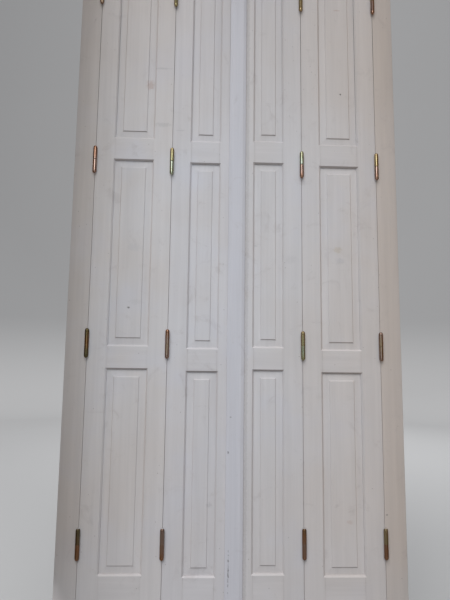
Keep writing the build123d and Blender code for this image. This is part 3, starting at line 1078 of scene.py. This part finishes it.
def pale_floor(colour):
    """A round floor that bends up at its rim: level, a quarter of a circle, then upright."""
    turn = np.linspace(0, math.pi / 2, 13)[1:]
    profile = [(r, 0.0) for r in (0.0, 1.5, 3.5, FLOOR_REACH)]
    profile += [
        (FLOOR_REACH + FLOOR_BEND * math.sin(t), FLOOR_BEND * (1 - math.cos(t))) for t in turn
    ]
    profile += [(FLOOR_REACH + FLOOR_BEND, RIM_TOP)]
    points, quads = turned(profile, (0, 0, 0), "Z", 96)
    mesh = bpy.data.meshes.new("floor")
    mesh.from_pydata(points.tolist(), [], quads[:, ::-1].tolist())
    mesh.shade_smooth()
    finish, shader = matt_finish("Pale floor", 0.85)
    tree = finish.node_tree
    soft = noise(tree, node(tree, "TexCoord").outputs["Object"], 0.8, detail=2)
    darker = rgba(c * 0.97 for c in colour)
    tree.links.new(mix(tree, soft, darker, rgba(colour)), shader.inputs["Base Color"])
    floor = in_scene(mesh, finish)
    floor.visible_shadow = False
    floor.visible_diffuse = False


def light_scene(stage, scene):
    """Pale surroundings and four soft lights, each with its breadth, power, colour, place and aim.

    The breadth of the sky light is an angle, and that of the others is a disk's width.
    """
    world = bpy.data.worlds.new("Soft studio")
    world.use_nodes = True
    back = world.node_tree.nodes["Background"]
    back.inputs[0].default_value = (0.93, 0.95, 1.0, 1.0)
    back.inputs[1].default_value = stage.fill
    scene.world = world
    sky = math.radians(46)
    for name, breadth, power, colour, place, aim in (
        ("sky light", sky, stage.key, (0.975, 0.98, 1.0), (-0.9, -4.0, 5.4), (0.0, 0.0, 0.6)),
        ("near light", 1.6, stage.near, (0.80, 0.94, 1.0), (-0.25, -1.9, 1.35), (-0.05, 0.0, 1.3)),
        ("gleam light", 1.5, stage.gleam, PALE_BLUE, (-0.35, -2.3, 2.75), (0.0, 0.0, 1.4)),
        ("back light", 2.4, BACK_POWER, PALE_BLUE, (1.5, 4.2, 4.2), (0.0, 0.0, 1.2)),
    ):
        light = bpy.data.lights.new(name, "SUN" if breadth == sky else "AREA")
        if breadth == sky:
            light.angle = breadth
        else:
            light.shape = "DISK"
            light.size = breadth
        light.energy = power
        light.color = colour
        lamp = bpy.data.objects.new(name, light)
        lamp.location = place
        lamp.rotation_euler = (Vector(aim) - Vector(place)).to_track_quat("-Z", "Y").to_euler()
        lamp.visible_diffuse = name != "gleam light"
        scene.collection.objects.link(lamp)


def set_camera(stage, scene):
    """The camera at the photograph's angle: turned right, tilted up, then rolled."""
    ahead = Vector((
        math.sin(stage.yaw) * math.cos(stage.pitch),
        math.cos(stage.yaw) * math.cos(stage.pitch),
        math.sin(stage.pitch),
    ))
    level = Vector((math.cos(stage.yaw), -math.sin(stage.yaw), 0))
    upright = level.cross(ahead)
    right = math.cos(stage.roll) * level + math.sin(stage.roll) * upright
    up = -math.sin(stage.roll) * level + math.cos(stage.roll) * upright
    lens = bpy.data.cameras.new("camera")
    lens.lens = stage.lens
    lens.clip_start = 0.05
    camera = bpy.data.objects.new("camera", lens)
    turned_to = Matrix((right, up, -ahead)).transposed().to_4x4()
    camera.matrix_world = Matrix.Translation(Vector(stage.camera_place)) @ turned_to
    scene.collection.objects.link(camera)
    scene.camera = camera
    scene.view_settings.view_transform = "Standard"
    scene.view_settings.look = "None"


class SHUTTERS_OT_stage(bpy.types.Operator):
    """Set the pale floor, the soft lights and the camera"""

    bl_idname = "shutters.stage"
    bl_label = "Studio stage"

    def execute(self, context):
        scene = context.scene
        stage = scene.shutter_stage
        pale_floor(stage.floor)
        for sign in SIDES.values():
            side_card(sign)
        light_scene(stage, scene)
        set_camera(stage, scene)
        return {"FINISHED"}


class SHUTTERS_PT_sidebar(bpy.types.Panel):
    """Lists the steps that finish the shutters"""

    bl_idname = "SHUTTERS_PT_sidebar"
    bl_label = "Shutters"
    bl_space_type = "VIEW_3D"
    bl_region_type = "UI"
    bl_category = "Shutters"

    def draw(self, context):
        for step in STEPS:
            self.layout.operator(step.bl_idname)


SETTINGS = {
    "shutter_paint": PaintSizes,
    "shutter_hinges": HingeSizes,
    "shutter_bolts": BoltSizes,
    "shutter_stage": StageSizes,
}
STEPS = (
    SHUTTERS_OT_frame, SHUTTERS_OT_leaves, SHUTTERS_OT_cover_strip, SHUTTERS_OT_hinges,
    SHUTTERS_OT_bolts, SHUTTERS_OT_stage,
)
CLASSES = (*SETTINGS.values(), *STEPS, SHUTTERS_PT_sidebar)


def register():
    """Register the settings, the steps and the panel."""
    for part in CLASSES:
        bpy.utils.register_class(part)
    for name, group in SETTINGS.items():
        setattr(bpy.types.Scene, name, PointerProperty(type=group))


def unregister():
    """Take the settings, the steps and the panel away again."""
    for name in SETTINGS:
        delattr(bpy.types.Scene, name)
    for part in reversed(CLASSES):
        bpy.utils.unregister_class(part)


def main():
    """Run every step in order."""
    register()
    for step in STEPS:
        area, action = step.bl_idname.split(".")
        getattr(getattr(bpy.ops, area), action)()


if __name__ == "__main__":
    main()
